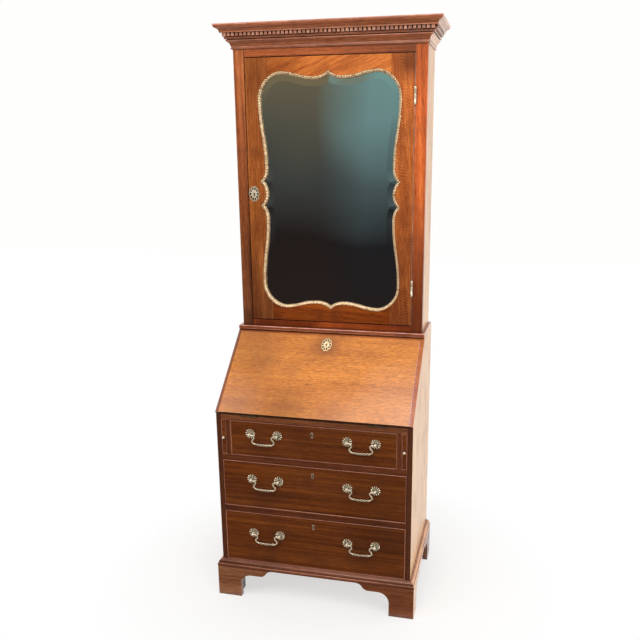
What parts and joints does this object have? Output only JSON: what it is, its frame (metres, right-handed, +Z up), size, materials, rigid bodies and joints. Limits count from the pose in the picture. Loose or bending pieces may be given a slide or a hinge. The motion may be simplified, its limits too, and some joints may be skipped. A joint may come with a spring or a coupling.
{
  "type": "bureau bookcase",
  "caption": "Desk with a sloping fall on lopers above long drawers with bail handles, on bracket feet, under a shallow bookcase with a shaped mirror door and dentil cornice.",
  "frame": {"origin": "middle of the bounding box's width and depth, on the floor under the feet", "axes": "+X to the right seen from the front, +Y towards the back, +Z up"},
  "size_m": [0.79, 0.4872, 2.0494],
  "materials": {
    "mahogany": "French polished, worn",
    "drawer_mahogany": "French polished",
    "door_mahogany": "figured, polished",
    "fall_mahogany": "faded, polished",
    "oak_lining": "dry, unpolished",
    "pine_back": "dry, unpolished",
    "brass": "aged, rubbed",
    "gilt": "carved and gilt",
    "mirror": "bevelled plate"
  },
  "bodies": {
    "carcase": {"base_moulding": "mahogany", "bed_hinge_leaves": "brass", "bookcase_back": "pine_back", "bookcase_bottom": "oak_lining", "bookcase_face_frame": "mahogany", "bookcase_shelves": "oak_lining", "bookcase_side_left": "mahogany", "bookcase_side_right": "mahogany", "bookcase_top": "oak_lining", "bureau_back": "pine_back", "bureau_bottom_board": "oak_lining", "bureau_side_left": "mahogany", "bureau_side_right": "mahogany", "bureau_top_board": "mahogany", "cornice": "mahogany", "drawer_dividers": "mahogany", "frame_hinge_leaves": "brass", "front_bracket_feet": "mahogany", "loper_partitions": "mahogany", "pigeonhole_boards": "drawer_mahogany", "rear_bracket_feet": "mahogany", "shelf_pins": "brass", "writing_bed": "mahogany"},
    "fall": {"fall_panel": "fall_mahogany", "fall_lock": "brass", "fall_escutcheon": "brass", "fall_hinge_leaves": "brass"},
    "door": {"door_frame": "door_mahogany", "gilt_slip": "gilt", "mirror_glass": "mirror", "door_back_panel": "pine_back", "door_lock": "brass", "door_escutcheon": "brass", "door_hinge_leaves": "brass"},
    "top_drawer": {"top_drawer_front": "drawer_mahogany", "top_drawer_box": "oak_lining", "top_drawer_lock": "brass", "top_drawer_handle_plates": "brass"},
    "top_drawer_bail_left": {"top_drawer_bail_left": "brass"},
    "top_drawer_bail_right": {"top_drawer_bail_right": "brass"},
    "middle_drawer": {"middle_drawer_front": "drawer_mahogany", "middle_drawer_box": "oak_lining", "middle_drawer_lock": "brass", "middle_drawer_handle_plates": "brass"},
    "middle_drawer_bail_left": {"middle_drawer_bail_left": "brass"},
    "middle_drawer_bail_right": {"middle_drawer_bail_right": "brass"},
    "bottom_drawer": {"bottom_drawer_front": "drawer_mahogany", "bottom_drawer_box": "oak_lining", "bottom_drawer_lock": "brass", "bottom_drawer_handle_plates": "brass"},
    "bottom_drawer_bail_left": {"bottom_drawer_bail_left": "brass"},
    "bottom_drawer_bail_right": {"bottom_drawer_bail_right": "brass"},
    "loper_left": {"loper_left": "drawer_mahogany", "loper_left_knob": "brass"},
    "small_drawer_left": {"small_drawer_left": "drawer_mahogany", "small_drawer_left_knob": "brass"},
    "loper_right": {"loper_right": "drawer_mahogany", "loper_right_knob": "brass"},
    "small_drawer_right": {"small_drawer_right": "drawer_mahogany", "small_drawer_right_knob": "brass"}
  },
  "joints": [
    {"name": "fall_hinge", "type": "hinge", "parent": "carcase", "child": "fall", "pos_m": [0, -0.2224, 0.72], "axis": [1, 0, 0], "range_deg": [0, 137.8]},
    {"name": "door_hinge", "type": "hinge", "parent": "carcase", "child": "door", "pos_m": [0.3024, 0.04742, 1.47736], "axis": [0, 0, 1], "range_deg": [0, 110]},
    {"name": "top_drawer_slide", "type": "slide", "parent": "carcase", "child": "top_drawer", "axis": [0, -1, 0], "range_m": [0, 0.3]},
    {"name": "top_drawer_bail_left_swing", "type": "hinge", "parent": "top_drawer", "child": "top_drawer_bail_left", "pos_m": [-0.177, -0.2374, 0.654], "axis": [-1, 0, 0], "range_deg": [0, 90]},
    {"name": "top_drawer_bail_right_swing", "type": "hinge", "parent": "top_drawer", "child": "top_drawer_bail_right", "pos_m": [0.177, -0.2374, 0.654], "axis": [-1, 0, 0], "range_deg": [0, 90]},
    {"name": "middle_drawer_slide", "type": "slide", "parent": "carcase", "child": "middle_drawer", "axis": [0, -1, 0], "range_m": [0, 0.3]},
    {"name": "middle_drawer_bail_left_swing", "type": "hinge", "parent": "middle_drawer", "child": "middle_drawer_bail_left", "pos_m": [-0.177, -0.2374, 0.4795], "axis": [-1, 0, 0], "range_deg": [0, 90]},
    {"name": "middle_drawer_bail_right_swing", "type": "hinge", "parent": "middle_drawer", "child": "middle_drawer_bail_right", "pos_m": [0.177, -0.2374, 0.4795], "axis": [-1, 0, 0], "range_deg": [0, 90]},
    {"name": "bottom_drawer_slide", "type": "slide", "parent": "carcase", "child": "bottom_drawer", "axis": [0, -1, 0], "range_m": [0, 0.3]},
    {"name": "bottom_drawer_bail_left_swing", "type": "hinge", "parent": "bottom_drawer", "child": "bottom_drawer_bail_left", "pos_m": [-0.177, -0.2374, 0.264], "axis": [-1, 0, 0], "range_deg": [0, 90]},
    {"name": "bottom_drawer_bail_right_swing", "type": "hinge", "parent": "bottom_drawer", "child": "bottom_drawer_bail_right", "pos_m": [0.177, -0.2374, 0.264], "axis": [-1, 0, 0], "range_deg": [0, 90]},
    {"name": "loper_left_slide", "type": "slide", "parent": "carcase", "child": "loper_left", "axis": [0, -1, 0], "range_m": [0, 0.25]},
    {"name": "small_drawer_left_slide", "type": "slide", "parent": "carcase", "child": "small_drawer_left", "axis": [0, -1, 0], "range_m": [0, 0.12]},
    {"name": "loper_right_slide", "type": "slide", "parent": "carcase", "child": "loper_right", "axis": [0, -1, 0], "range_m": [0, 0.25]},
    {"name": "small_drawer_right_slide", "type": "slide", "parent": "carcase", "child": "small_drawer_right", "axis": [0, -1, 0], "range_m": [0, 0.12]}
  ]
}
